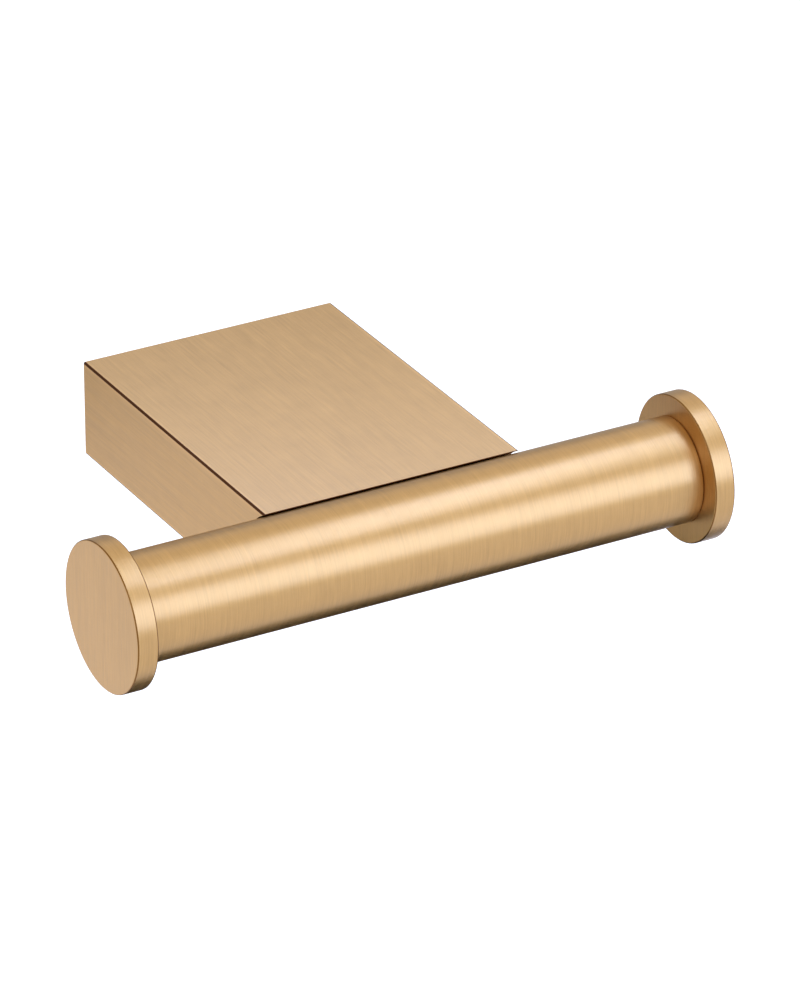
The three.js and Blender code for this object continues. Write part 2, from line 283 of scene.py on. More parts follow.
class SharedGroups:
    """The node groups that the finishes share, each built when it is first asked for."""

    _made: dict[str, bpy.types.NodeTree] = {}

    @classmethod
    def get(cls, build: Callable[[], bpy.types.NodeTree]) -> bpy.types.NodeTree:
        """Gives the group that a function builds, and builds it the first time.

        Args:
            build: the function that builds the group.

        Returns:
            The group.
        """
        if build.__name__ not in cls._made:
            cls._made[build.__name__] = build()
        return cls._made[build.__name__]


@dataclass(frozen=True)
class PaintedHighlightBand:
    """A painted highlight: the lighter band beside a box-shaped piece's long edges."""

    half_width: float
    half_height: float
    width: float = 1.1 * MM
    lift: float = 0.16


@dataclass(frozen=True)
class Finish:
    """One surface finish, as a procedural material.

    Lines, streaks and clouds are shares of the tone, the swing is how much a line changes the
    roughness, the bump is a depth, and the lacquer is the shader's coat.
    """

    name: str
    colour: Colour
    grain: Grain
    metallic: float = 1.0
    roughness: float = 0.38
    roughness_swing: float = 0.16
    lines: float = 0.18
    streaks: float = 0.07
    clouds: float = 0.06
    bump: float = 0.008 * MM
    lacquer: float = 0.0
    lacquer_roughness: float = 0.25
    lacquer_ior: float = 1.5
    painted_highlight_band: PaintedHighlightBand | None = None

    def material(self) -> bpy.types.Material:
        """Gives the finish's material, built once and then shared."""
        found = bpy.data.materials.get(self.name)
        return found if found else self._build()

    def _build(self) -> bpy.types.Material:
        """Builds the material's nodes."""
        material = bpy.data.materials.new(self.name)
        material.use_nodes = True
        material.diffuse_color = (*self.colour, 1.0)
        tree = material.node_tree
        shader = tree.nodes["Principled BSDF"]
        coat = {"Coat Weight": self.lacquer, "Coat Roughness": self.lacquer_roughness}
        set_inputs(shader, {"Metallic": self.metallic, "Coat IOR": self.lacquer_ior, **coat})
        place = add_node(tree, "ShaderNodeTexCoord").outputs["Object"]
        grain = self._grain(tree, place)
        tone = grain.outputs["Tone"]
        # Where the finish has one, a painted highlight band lightens the tone beside the long
        # edges.
        if self.painted_highlight_band:
            tone = self._lifted(tree, place, tone)
        tint = add_node(tree, "ShaderNodeVectorMath", operation="SCALE")
        tint.inputs[0].default_value = self.colour
        tree.links.new(tone, tint.inputs["Scale"])
        tree.links.new(tint.outputs[0], shader.inputs["Base Color"])
        shift = grain.outputs["Roughness Shift"]
        rough = math_node(tree, "MULTIPLY_ADD", shift, self.roughness_swing, self.roughness)
        tree.links.new(rough, shader.inputs["Roughness"])
        bump = add_node(tree, "ShaderNodeBump")
        set_inputs(bump, {"Strength": 1.0, "Distance": self.bump})
        tree.links.new(grain.outputs["Height"], bump.inputs["Height"])
        tree.links.new(bump.outputs[0], shader.inputs["Normal"])
        return material

    def _grain(self, tree: bpy.types.NodeTree, place: bpy.types.NodeSocket) -> bpy.types.Node:
        """Adds the shared grain group, running this finish's way."""
        stretched = add_node(tree, "ShaderNodeMapping")
        stretched.inputs["Scale"].default_value = self.grain.value
        tree.links.new(place, stretched.inputs["Vector"])
        grain = add_node(tree, "ShaderNodeGroup", node_tree=SharedGroups.get(brushed_grain_group))
        tree.links.new(stretched.outputs[0], grain.inputs["Grain Place"])
        tree.links.new(place, grain.inputs["Surface Place"])
        strengths = {"Line Strength": self.lines, "Streak Strength": self.streaks}
        set_inputs(grain, {**strengths, "Cloud Strength": self.clouds})
        return grain

    def _lifted(
        self, tree: bpy.types.NodeTree, place: bpy.types.NodeSocket, tone: bpy.types.NodeSocket
    ) -> bpy.types.NodeSocket:
        """Adds the painted highlight band beside the long edges to the tone."""
        band = add_node(tree, "ShaderNodeGroup", node_tree=SharedGroups.get(painted_highlight_band_group))
        tree.links.new(place, band.inputs["Place"])
        sizes = {"Half Width": self.painted_highlight_band.half_width, "Half Height": self.painted_highlight_band.half_height}
        set_inputs(band, {**sizes, "Band": self.painted_highlight_band.width})
        return math_node(tree, "MULTIPLY_ADD", band.outputs["Mask"], self.painted_highlight_band.lift, tone)


BRONZE = linear(190, 147, 86)
# The edge colour is painted shade: the dark reflection along the arm's bevels and the shade in the
# crease behind the bar.
BRONZE_PAINTED_EDGE_SHADE = linear(76, 40, 8)
# The disc edge colour is painted shade: the dark reflection along the discs' rounded edges.
BRONZE_PAINTED_DISC_EDGE_SHADE = linear(128, 88, 42)
BRASS = linear(190, 150, 82)
STEEL = linear(186, 189, 192)
ALUMINIUM = linear(168, 172, 177)
RUBBER = linear(40, 40, 42)
LACQUERED = 0.4

BAR_FINISH = Finish("bronze_round_the_bar", BRONZE, Grain.ROUND_BAR, lacquer=LACQUERED)
DISC_FINISH = Finish("bronze_down_the_disc", BRONZE, Grain.DOWN_DISC, lacquer=LACQUERED)
# Painted shade on the arm's long bevels and on the lip behind the bar.
PAINTED_EDGE_SHADE_FINISH = Finish(
    "bronze_painted_edge_shade", BRONZE_PAINTED_EDGE_SHADE, Grain.ALONG_ARM, roughness=0.3, lines=0.15
)
# Painted shade on the discs' rounded edges.
PAINTED_DISC_EDGE_SHADE_FINISH = Finish(
    "bronze_disc_painted_edge_shade", BRONZE_PAINTED_DISC_EDGE_SHADE, Grain.ROUND_BAR, roughness=0.3, lines=0.12
)
BRASS_FINISH = Finish("machined_brass", BRASS, Grain.ROUND_BAR, roughness=0.35)
STEEL_FINISH = Finish("steel_round_the_bar", STEEL, Grain.ROUND_BAR, roughness=0.32)
SCREW_FINISH = Finish("steel_round_the_bar_screw", STEEL, Grain.ROUND_BAR_SCREW, roughness=0.3)
GRUB_FINISH = Finish("steel_round_the_grub_screw", STEEL, Grain.ROUND_GRUB_SCREW, roughness=0.3)
MILLED_FINISH = Finish("milled_aluminium", ALUMINIUM, Grain.MILLED, roughness=0.42, lines=0.07)
RUBBER_FINISH = Finish(
    "black_rubber",
    RUBBER,
    Grain.MOULDED,
    metallic=0.0,
    roughness=0.72,
    lines=0.12,
    bump=0.02 * MM,
)


# ---- Bench work: what the pieces are modelled with ----


class Element(Enum):
    """What is selected in edit mode."""

    CORNERS = "VERT"
    EDGES = "EDGE"
    FACES = "FACE"


def deselect() -> None:
    """Leaves object mode ready for a new piece, with nothing selected."""
    if bpy.context.object and bpy.context.object.mode != "OBJECT":
        bpy.ops.object.mode_set(mode="OBJECT")
    bpy.ops.object.select_all(action="DESELECT")


def pick(piece: bpy.types.Object) -> None:
    """Makes a piece the active one, and the only one selected.

    Args:
        piece: the piece.
    """
    deselect()
    piece.select_set(True)
    bpy.context.view_layer.objects.active = piece


def name_new(name: str) -> bpy.types.Object:
    """Names the object that was just added and applies its place to its mesh.

    Args:
        name: the new piece's name.

    Returns:
        The new piece.
    """
    piece = bpy.context.object
    piece.name = name
    piece.data.name = name
    bpy.ops.object.transform_apply(location=True, rotation=True, scale=True)
    return piece


def place(piece: bpy.types.Object, move: Matrix) -> bpy.types.Object:
    """Moves a piece's mesh and leaves its object at the origin.

    Args:
        piece: the piece.
        move: how its mesh is moved and turned.

    Returns:
        The same piece.
    """
    piece.data.transform(move)
    piece.data.update()
    return piece


def select(piece: bpy.types.Object, element: Element, test: Callable[..., bool]) -> int:
    """Opens a piece in edit mode and selects what passes a test.

    Args:
        piece: the piece.
        element: whether corners, edges or faces are selected.
        test: takes a corner, an edge or a face and says whether it is wanted.

    Returns:
        How many are selected.
    """
    pick(piece)
    bpy.ops.object.mode_set(mode="EDIT")
    bpy.ops.mesh.select_mode(type=element.value)
    bpy.ops.mesh.select_all(action="DESELECT")
    mesh = bmesh.from_edit_mesh(piece.data)
    parts = {Element.CORNERS: mesh.verts, Element.EDGES: mesh.edges, Element.FACES: mesh.faces}
    wanted = [part for part in parts[element] if test(part)]
    for part in wanted:
        part.select_set(True)
    bmesh.update_edit_mesh(piece.data)
    return len(wanted)


def runs_along_y(edge: bmesh.types.BMEdge) -> bool:
    """Says whether an edge of a plain block runs along Y."""
    return abs(edge.verts[0].co.y - edge.verts[1].co.y) > MERGE_DISTANCE


def bevel_edges(
    piece: bpy.types.Object,
    test: Callable[[bmesh.types.BMEdge], bool],
    width: float,
    segments: int,
) -> None:
    """Bevels the edges that pass a test.

    Args:
        piece: the piece.
        test: takes an edge and says whether it is bevelled.
        width: how far the bevel reaches from the edge.
        segments: how many flats it has.
    """
    if select(piece, Element.EDGES, test):
        bpy.ops.mesh.bevel(offset=width, segments=segments, profile=0.5, affect="EDGES")
    bpy.ops.object.mode_set(mode="OBJECT")


def apply_modifier(piece: bpy.types.Object, kind: str, **values: object) -> None:
    """Gives a piece a modifier and applies it.

    Args:
        piece: the piece.
        kind: the modifier's type, such as BEVEL.
        values: properties to set on the modifier.
    """
    pick(piece)
    modifier = piece.modifiers.new(kind.lower(), kind)
    for name, value in values.items():
        setattr(modifier, name, value)
    bpy.ops.object.modifier_apply(modifier=modifier.name)


def cut_away(piece: bpy.types.Object, cutters: Iterable[bpy.types.Object]) -> None:
    """Cuts shapes out of a piece, and deletes their cutters.

    Args:
        piece: the piece.
        cutters: closed shapes to cut out.
    """
    for cutter in cutters:
        apply_modifier(piece, "BOOLEAN", operation="DIFFERENCE", solver="EXACT", object=cutter)
        bpy.data.objects.remove(cutter)


def soften(piece: bpy.types.Object, width: float) -> None:
    """Rounds every sharp edge of a piece, as far from the edge as the width says."""
    limit = {"limit_method": "ANGLE", "angle_limit": SMOOTH_ANGLE}
    apply_modifier(piece, "BEVEL", width=width, segments=2, **limit)


def block(name: str, low: Vector, high: Vector) -> bpy.types.Object:
    """Adds a rectangular block, ready to be shaped.

    Args:
        name: the new piece's name.
        low: its lowest corner.
        high: its highest corner.

    Returns:
        The new piece.
    """
    deselect()
    bpy.ops.mesh.primitive_cube_add(size=1, location=(low + high) / 2, scale=high - low)
    return name_new(name)


def rod(
    name: str, radius: float, start: Vector, end: Vector, steps: int = SMALL_STEPS
) -> bpy.types.Object:
    """Adds a round rod, ready to be shaped.

    Args:
        name: the new piece's name.
        radius: its radius.
        start: the middle of one end.
        end: the middle of the other end.
        steps: how many faces go round.

    Returns:
        The new piece.
    """
    deselect()
    along = end - start
    turn = Vector((0, 0, 1)).rotation_difference(along).to_euler()
    bpy.ops.mesh.primitive_cylinder_add(
        vertices=steps,
        radius=radius,
        depth=along.length,
        location=(start + end) / 2,
        rotation=turn,
    )
    return name_new(name)


def hexagon(name: str, across_flats: float, start: Vector, end: Vector) -> bpy.types.Object:
    """Adds a hexagonal cutter between two points, for a screw's key socket."""
    return rod(name, across_flats / math.sqrt(3), start, end, steps=6)


def slot_cutter(middle: Vector, width: float, length: float, depth: float) -> bpy.types.Object:
    """Adds a cutter along Y for a level slot with round ends.

    Args:
        middle: the middle of the slot.
        width: how high the slot is.
        length: how long it is along X, over its round ends.
        depth: how far the cutter runs along Y.

    Returns:
        The cutter: a round rod whose halves are drawn apart.
    """
    half_depth = Vector((0, depth / 2, 0))
    cutter = rod("slot", width / 2, middle - half_depth, middle + half_depth)
    half_step = Matrix.Rotation(math.pi / SMALL_STEPS, 4, "Y")
    place(cutter, Matrix.Translation(middle) @ half_step @ Matrix.Translation(-middle))
    for sign in SIDES.values():
        select(cutter, Element.CORNERS, lambda corner: sign * (corner.co.x - middle.x) > 0)
        bpy.ops.transform.translate(value=(sign * (length - width) / 2, 0, 0))
        bpy.ops.object.mode_set(mode="OBJECT")
    return cutter


def turned(name: str, outline: list[Point], steps: int = FINE_STEPS) -> bpy.types.Object:
    """Turns an outline about X, as on a lathe.

    Args:
        name: the new piece's name.
        outline: points, each a place along X and a radius, either from axis to axis or closed.
        steps: how many faces go round.

    Returns:
        The new piece.
    """
    deselect()
    bpy.ops.mesh.primitive_plane_add(size=MM)
    piece = name_new(name)
    bpy.ops.object.mode_set(mode="EDIT")
    bpy.ops.mesh.select_mode(type=Element.CORNERS.value)
    bpy.ops.mesh.select_all(action="SELECT")
    bpy.ops.mesh.merge(type="CENTER")
    bpy.ops.transform.translate(value=(outline[0][0], 0, outline[0][1]))
    for (x, radius), (next_x, next_radius) in zip(outline, outline[1:]):
        step = (next_x - x, 0, next_radius - radius)
        bpy.ops.mesh.extrude_region_move(TRANSFORM_OT_translate={"value": step})
    bpy.ops.mesh.select_all(action="SELECT")
    bpy.ops.mesh.spin(steps=steps, angle=2 * math.pi, center=(0, 0, 0), axis=(1, 0, 0))
    bpy.ops.mesh.select_all(action="SELECT")
    bpy.ops.mesh.remove_doubles(threshold=MERGE_DISTANCE)
    bpy.ops.mesh.normals_make_consistent(inside=False)
    bpy.ops.object.mode_set(mode="OBJECT")
    return piece


def rounded(x: float, radius: float, cut: float, outward: int) -> list[Point]:
    """The rounded corner of a turned piece's outline, from its end face to its round side.

    Args:
        x: where the corner is along X.
        radius: the corner's radius from the axis.
        cut: how much the rounding takes off.
        outward: 1 if the end face looks along +X, and -1 if along -X.

    Returns:
        The outline's points from the end face to the side.
    """
    flats = 3
    points = []
    for step in range(flats + 1):
        angle = math.pi / 2 * step / flats
        along = x - outward * cut * (1 - math.cos(angle))
        points.append((along, radius - cut * (1 - math.sin(angle))))
    return points


def thread(start: float, end: float, radius: float, pitch: float, depth: float) -> list[Point]:
    """The ridges of a screw thread on a turned piece's outline, as rings.

    Args:
        start: where the thread starts along X.
        end: where it ends.
        radius: the radius at the ridges, or at the grooves of a threaded hole.
        pitch: about how far apart the ridges are.
        depth: how far the radius drops between them.

    Returns:
        The outline's points from start to end, the first and the last at the smaller radius.
    """
    ridges = max(1, round(abs(end - start) / pitch))
    step = (end - start) / ridges
    points = []
    for ridge in range(ridges):
        valley = start + ridge * step
        points += [(valley, radius - depth), (valley + step / 2, radius)]
    return [*points, (end, radius - depth)]


def dress(
    piece: bpy.types.Object,
    finish: Finish,
    others: dict[Finish, Callable[[bpy.types.MeshPolygon], bool]] | None = None,
) -> None:
    """Smooths a piece's round faces, keeps its flats flat and gives its faces their finishes.

    Args:
        piece: the piece.
        finish: the finish of every face that no other finish takes.
        others: further finishes, each with a test that says whether a face takes it.
    """
    pick(piece)
    bpy.ops.object.shade_smooth_by_angle(angle=SMOOTH_ANGLE)
    apply_modifier(piece, "WEIGHTED_NORMAL", keep_sharp=True)
    piece.data.materials.clear()
    piece.data.materials.append(finish.material())
    for index, (other, test) in enumerate((others or {}).items(), start=1):
        piece.data.materials.append(other.material())
        for face in piece.data.polygons:
            if test(face):
                face.material_index = index


def hand_over(piece: bpy.types.Object, node: str) -> None:
    """Makes a piece ride the frame in a CAD node's stead, and reports it.

    Args:
        piece: the finished piece.
        node: the CAD node that it stands for.
    """
    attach(piece, BODY)
    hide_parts(node)
    LOG.info("%s: %d faces", piece.name, len(piece.data.polygons))


# ---- The bar and its discs ----


@dataclass
class BarAssembly:
    """The bar, the disc on each of its ends and the axis that they share."""

    axis: Vector
    half_length: float
    radius: float
    disc_radius: float
    disc_thickness: float
    spigot_length: float
    wall: float = 1.5 * MM
    end_rounding: float = 0.3 * MM
    disc_rounding: float = 0.25 * MM
    spigot_radius: float = 6 * MM
    stud_hole_radius: float = 3.3 * MM
    stud_hole_depth: float = 6.8 * MM
    screw_spacing: float = 28 * MM
    screw_hole_radius: float = 2.8 * MM
    clearance: float = 0.3 * MM
    overrun: float = 1 * MM

    @classmethod
    def from_frame(cls) -> "BarAssembly":
        """Takes the bar's and the discs' sizes from the frame.

        Returns:
            The assembly, not yet built.
        """
        low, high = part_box("bar_tube")
        disc_low, disc_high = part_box("end_disc_right")
        return cls(
            axis=(low + high) / 2,
            half_length=high.x,
            radius=(high.z - low.z) / 2,
            disc_radius=(disc_high.z - disc_low.z) / 2,
            disc_thickness=disc_high.x - high.x,
            spigot_length=high.x - disc_low.x,
        )

    def build(self) -> None:
        """Builds the bar and both discs."""
        self._tube()
        for side in SIDES:
            self._disc(side)

    def seat(self, piece: bpy.types.Object, side: str = "right") -> bpy.types.Object:
        """Moves a piece made for the right end to its own end of the bar, and returns it."""
        turn = Matrix.Rotation(math.pi if side == "left" else 0, 4, "Z")
        return place(piece, Matrix.Translation(self.axis) @ turn)

    def space(self, half_width: float) -> bpy.types.Object:
        """The round space that the bar and its clearance take out of what carries it.

        Args:
            half_width: how far the space reaches to each side of the middle.

        Returns:
            The cutter.
        """
        reach = Vector((half_width, 0, 0))
        radius = self.radius + self.clearance
        return rod("bar_space", radius, self.axis - reach, self.axis + reach, FINE_STEPS)

    def screw_holes(self, near: float, far: float) -> list[bpy.types.Object]:
        """The cutters of the two screws' holes.

        Args:
            near: where along Y they start.
            far: where they end.

        Returns:
            The left and the right cutter.
        """
        holes = []
        for sign in SIDES.values():
            across = self.axis.x + sign * self.screw_spacing / 2
            start, end = (Vector((across, depth, self.axis.z)) for depth in (near, far))
            holes.append(rod("hole", self.screw_hole_radius, start, end))
        return holes

    def _tube(self) -> None:
        """Builds the bar: a tube with rounded ends and two screw holes in its back."""
        end, bore = self.half_length, self.radius - self.wall
        outline = [
            (-end, bore),
            *rounded(-end, self.radius, self.end_rounding, -1),
            *reversed(rounded(end, self.radius, self.end_rounding, 1)),
            (end, bore),
            (-end, bore),
        ]
        tube = self.seat(turned("brushed_bar", outline))
        back = self.axis.y + self.radius + self.overrun
        cut_away(tube, self.screw_holes(self.axis.y, back))
        dress(tube, BAR_FINISH)
        hand_over(tube, "bar_tube")

    def _disc(self, side: str) -> None:
        """Builds one end disc with its spigot and blind hole."""
        inner, outer = self.half_length, self.half_length + self.disc_thickness
        spigot_end = inner - self.spigot_length
        hole_end = spigot_end + self.stud_hole_depth
        outline = [
            (hole_end, 0.0),
            (hole_end, self.stud_hole_radius),
            (spigot_end, self.stud_hole_radius),
            (spigot_end, self.spigot_radius),
            (inner, self.spigot_radius),
            *rounded(inner, self.disc_radius, self.disc_rounding, -1),
            *reversed(rounded(outer, self.disc_radius, self.disc_rounding, 1)),
            (outer, 0.0),
        ]
        disc = self.seat(turned(f"brushed_disc_{side}", outline), side)
        # The discs' rounded edges take painted shade.
        round_and_rounded = {
            BAR_FINISH: lambda face: abs(face.normal.x) < LEANING,
            PAINTED_DISC_EDGE_SHADE_FINISH: lambda face: LEANING < abs(face.normal.x) < FACING,
        }
        dress(disc, DISC_FINISH, round_and_rounded)
        hand_over(disc, f"end_disc_{side}")


# ---- What holds the discs in the bar ----


@dataclass
class EndFixing:
    """What holds one disc: its rubber ring, the plug inside the bar and the stud between them."""

    bar: BarAssembly
    side: str
    stud_radius: float = 3 * MM
    stud_bevel: float = 0.6 * MM
    stud_pitch: float = 1 * MM
    stud_thread: float = 0.5 * MM
    plug_chamfer: float = 0.5 * MM
    bore_thread: float = 0.35 * MM
    ring_steps: int = 24

    def build(self) -> None:
        """Builds the ring, the plug and the stud."""
        self._ring()
        self._plug()
        self._stud()

    def _span(self, node: str) -> tuple[float, float, float]:
        """A CAD node's inner end, outer end and radius, for the right end of the bar."""
        low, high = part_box(f"{node}_right")
        return low.x, high.x, (high.z - low.z) / 2

    def _fit(self, piece: bpy.types.Object, node: str, finish: Finish) -> None:
        """Seats a piece in this end of the bar, dresses it and hands it over."""
        self.bar.seat(piece, self.side)
        dress(piece, finish)
        hand_over(piece, f"{node}_{self.side}")

    def _ring(self) -> None:
        """Builds the rubber ring round the disc's spigot."""
        inner, outer, radius = self._span("spigot_ring")
        wire = (outer - inner) / 2
        outline = []
        for step in range(self.ring_steps + 1):
            angle = 2 * math.pi * step / self.ring_steps
            along = (inner + outer) / 2 + wire * math.sin(angle)
            outline.append((along, radius - wire + wire * math.cos(angle)))
        ring = turned(f"rubber_ring_{self.side}", outline, SMALL_STEPS)
        self._fit(ring, "spigot_ring", RUBBER_FINISH)

    def _plug(self) -> None:
        """Builds the plug with its threaded bore."""
        inner, outer, radius = self._span("end_plug")
        cut, bore = self.plug_chamfer, self.bar.stud_hole_radius
        outline = [
            (inner, bore),
            (inner, radius - cut),
            (inner + cut, radius),
            (outer - cut, radius),
            (outer, radius - cut),
            *thread(outer, inner, bore + self.bore_thread, self.stud_pitch, self.bore_thread),
        ]
        plug = turned(f"threaded_plug_{self.side}", outline, SMALL_STEPS)
        self._fit(plug, "end_plug", BRASS_FINISH)

    def _stud(self) -> None:
        """Builds the stud, threaded from end to end."""
        inner, outer, _ = self._span("disc_stud")
        radius, bevel = self.stud_radius, self.stud_bevel
        tip = radius - self.stud_thread - bevel / 2
        outline = [
            (inner, 0.0),
            (inner, tip),
            *thread(inner + bevel, outer - bevel, radius, self.stud_pitch, self.stud_thread),
            (outer, tip),
            (outer, 0.0),
        ]
        stud = turned(f"threaded_stud_{self.side}", outline, SMALL_STEPS)
        self._fit(stud, "disc_stud", STEEL_FINISH)


# ---- The arm ----


@dataclass
class ArmAssembly:
    """The block arm from the wall to the bar."""

    bar: BarAssembly
    half_width: float
    half_height: float
    front: float
    wall: float = 2.5 * MM
    long_edge: float = 0.38 * MM
    rim_edge: float = 0.15 * MM
    grub_hole_radius: float = 2.8 * MM
    overrun: float = 2 * MM

    @classmethod
    def from_frame(cls, bar: BarAssembly) -> "ArmAssembly":
        """Makes the arm that carries a bar, with its sizes from the frame."""
        low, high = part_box("arm_housing")
        return cls(bar=bar, half_width=high.x, half_height=high.z, front=low.y)

    def build(self) -> None:
        """Builds the housing: bevelled along its length, hollow, and cut out round the bar."""
        low = Vector((-self.half_width, self.front, -self.half_height))
        high = Vector((self.half_width, 0, self.half_height))
        housing = block("brushed_arm", low, high)
        bevel_edges(housing, runs_along_y, self.long_edge, segments=3)
        bevel_edges(housing, self._is_wall_rim, self.rim_edge, segments=2)
        cut_away(housing, [self.bar.space(self.half_width + self.overrun)])
        cut_away(housing, [self._hollow(), *self._grub_holes()])
        # The long bevels and the lip behind the bar take painted shade, and the arm's bronze has a
        # painted highlight band beside its long edges.
        dress(housing, self._brushed(), {PAINTED_EDGE_SHADE_FINISH: self._takes_painted_edge_shade})
        hand_over(housing, "arm_housing")

    def _hollow(self) -> bpy.types.Object:
        """The rectangular space inside the arm, open at both of its ends."""
        across, up = self.half_width - self.wall, self.half_height - self.wall
        low = Vector((-across, self.bar.axis.y, -up))
        return block("hollow", low, Vector((across, self.overrun, up)))

    def _grub_holes(self) -> list[bpy.types.Object]:
        """The two round holes in the arm's underside, one round each grub screw."""
        low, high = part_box("grub_screw_left")
        across, depth = abs(low.x + high.x) / 2, (low.y + high.y) / 2
        bottom, ceiling = -self.half_height - self.overrun, -self.half_height + self.wall
        holes = []
        for sign in SIDES.values():
            places = (bottom, ceiling + self.overrun)
            start, end = (Vector((sign * across, depth, up)) for up in places)
            holes.append(rod("hole", self.grub_hole_radius, start, end))
        return holes

    def _brushed(self) -> Finish:
        """The arm's own bronze, with a painted highlight band beside its long edges."""
        band = PaintedHighlightBand(self.half_width, self.half_height)
        return Finish(
            "bronze_along_the_arm", BRONZE, Grain.ALONG_ARM, lacquer=LACQUERED, painted_highlight_band=band
        )

    def _is_wall_rim(self, edge: bmesh.types.BMEdge) -> bool:
        """Says whether an edge lies in the wall face."""
        return all(abs(corner.co.y) < MERGE_DISTANCE for corner in edge.verts)

    def _takes_painted_edge_shade(self, face: bpy.types.MeshPolygon) -> bool:
        """Says whether a face takes the painted edge shade: a long bevel, or the blunt lip behind
        the bar.
        """
        slanted = abs(face.normal.x) > LEANING and abs(face.normal.z) > LEANING
        at_side = abs(face.center.x) > self.half_width - self.long_edge
        lip = face.normal.y < -FACING and abs(face.center.y - self.front) < MERGE_DISTANCE
        return slanted and at_side or lip


# ---- What joins the bar to the arm ----


@dataclass
class SaddleAssembly:
    """The block in the arm's front end, the nut inside the bar and the screws that join them."""

    bar: BarAssembly
    block_corner: float = 0.5 * MM
    edge_rounding: float = 0.15 * MM
    screw_radius: float = 2.5 * MM
    screw_pitch: float = 0.8 * MM
    screw_thread: float = 0.4 * MM
    screw_tip: float = 0.42 * MM
    plain_shank: float = 2.4 * MM
    head_height: float = 5 * MM
    head_rounding: float = 0.5 * MM
    socket: float = 4 * MM
    socket_depth: float = 2.5 * MM
    overrun: float = 1 * MM

    def build(self) -> None:
        """Builds the block, the nut, and each side's screw and washer."""
        self._block()
        self._nut()
        for side in SIDES:
            self._screw(side)
            self._washer(side)

    def _block(self) -> None:
        """Builds the block that seats the bar and closes the arm."""
        low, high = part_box("saddle_block")
        low.y = self.bar.axis.y
        saddle = block("machined_saddle", low, high)
        bevel_edges(saddle, runs_along_y, self.block_corner, segments=3)
        cut_away(saddle, [self.bar.space(high.x + self.overrun)])
        cut_away(saddle, self.bar.screw_holes(low.y - self.overrun, high.y + self.overrun))
        soften(saddle, self.edge_rounding)
        dress(saddle, BRASS_FINISH)
        hand_over(saddle, "saddle_block")

    def _nut(self) -> None:
        """Builds the nut: the back slice of a round rod, with a hole for each screw."""
        low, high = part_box("saddle_nut")
        axis = self.bar.axis
        start, end = (Vector((across, axis.y, axis.z)) for across in (low.x, high.x))
        nut = rod("sliced_nut", high.y - axis.y, start, end, 2 * SMALL_STEPS)
        select(nut, Element.FACES, lambda face: True)
        front = (0, low.y, 0)
        bpy.ops.mesh.bisect(plane_co=front, plane_no=(0, 1, 0), use_fill=True, clear_inner=True)
        bpy.ops.object.mode_set(mode="OBJECT")
        soften(nut, self.edge_rounding)
        cut_away(nut, self.bar.screw_holes(low.y - self.overrun, high.y + self.overrun))
        dress(nut, STEEL_FINISH)
        hand_over(nut, "saddle_nut")

    def _to_screw_axis(self, piece: bpy.types.Object, side: str, seat: float) -> None:
        """Turns a piece made along X to run along Y, on one screw's axis."""
        across = SIDES[side] * self.bar.screw_spacing / 2
        turn = Matrix.Rotation(math.pi / 2, 4, "Z")
        place(piece, Matrix.Translation((across, seat, self.bar.axis.z)) @ turn)

    def _screw(self, side: str) -> None:
        """Builds one socket-head screw, its head towards the wall."""
        low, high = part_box(f"bar_screw_{side}")
        head_radius = (high.x - low.x) / 2
        seat = high.y - self.head_height
        end, tip = low.y - seat, self.screw_tip
        radius, shank = self.screw_radius, -self.plain_shank
        outline = [
            (end, 0.0),
            (end, radius - self.screw_thread - tip),
            *thread(end + tip, shank, radius, self.screw_pitch, self.screw_thread),
            (shank, radius),
            (0.0, radius),
            *rounded(0.0, head_radius, self.edge_rounding, -1),
            *reversed(rounded(self.head_height, head_radius, self.head_rounding, 1)),
            (self.head_height, 0.0),
        ]
        screw = turned(f"socket_screw_{side}", outline, SMALL_STEPS)
        floor = Vector((self.head_height - self.socket_depth, 0, 0))
        mouth = Vector((self.head_height + self.overrun, 0, 0))
        cut_away(screw, [hexagon("socket", self.socket, floor, mouth)])
        self._to_screw_axis(screw, side, seat)
        dress(screw, SCREW_FINISH)
        hand_over(screw, f"bar_screw_{side}")

    def _washer(self, side: str) -> None:
        """Builds the flat washer under one screw's head, with rounded edges."""
        low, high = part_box(f"screw_washer_{side}")
        radius, hole, thickness = (high.x - low.x) / 2, self.bar.screw_hole_radius, high.y - low.y
        outline = [
            (0.0, hole),
            *rounded(0.0, radius, self.edge_rounding, -1),
            *reversed(rounded(thickness, radius, self.edge_rounding, 1)),
            (thickness, hole),
            (0.0, hole),
        ]
        washer = turned(f"flat_washer_{side}", outline, SMALL_STEPS)
        self._to_screw_axis(washer, side, low.y)
        dress(washer, SCREW_FINISH)
        hand_over(washer, f"screw_washer_{side}")


# ---- The wall side ----


